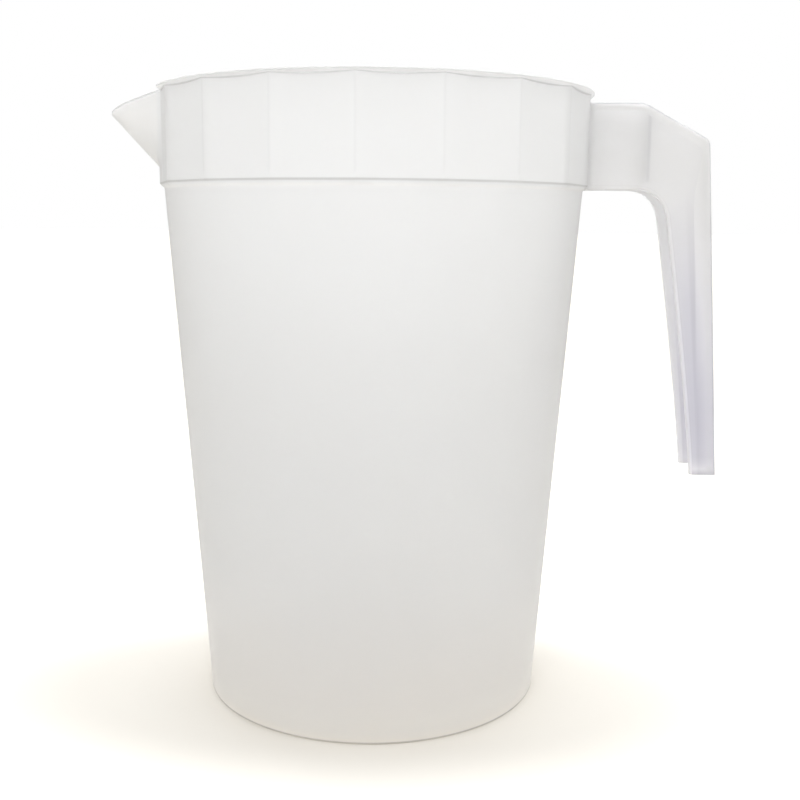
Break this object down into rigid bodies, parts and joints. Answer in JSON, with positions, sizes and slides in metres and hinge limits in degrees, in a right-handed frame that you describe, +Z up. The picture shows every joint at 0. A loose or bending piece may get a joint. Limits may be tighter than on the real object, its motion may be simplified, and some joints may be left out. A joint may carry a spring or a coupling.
{
  "type": "pouring jug",
  "caption": "Tapered round pouring jug in milky plastic with a faceted collar, a pointed spout and an open-ended channel handle.",
  "frame": {"origin": "centre of the flat base, on the surface that the jug stands on", "axes": "+Z up along the body's axis, +X towards the handle, -X towards the spout, so that the jug mirrors across the plane Y = 0"},
  "size_m": [0.2037, 0.1426, 0.2],
  "materials": {
    "milky_wall": "natural milky polypropylene, translucent, satin outside",
    "milky_handle": "natural milky polypropylene, translucent, satin"
  },
  "bodies": {
    "root": {"vessel": "milky_wall", "collar": "milky_wall", "rim_lip": "milky_wall", "spout": "milky_wall", "handle_arm": "milky_handle", "handle_rib": "milky_handle", "handle_grip": "milky_handle"}
  },
  "joints": []
}
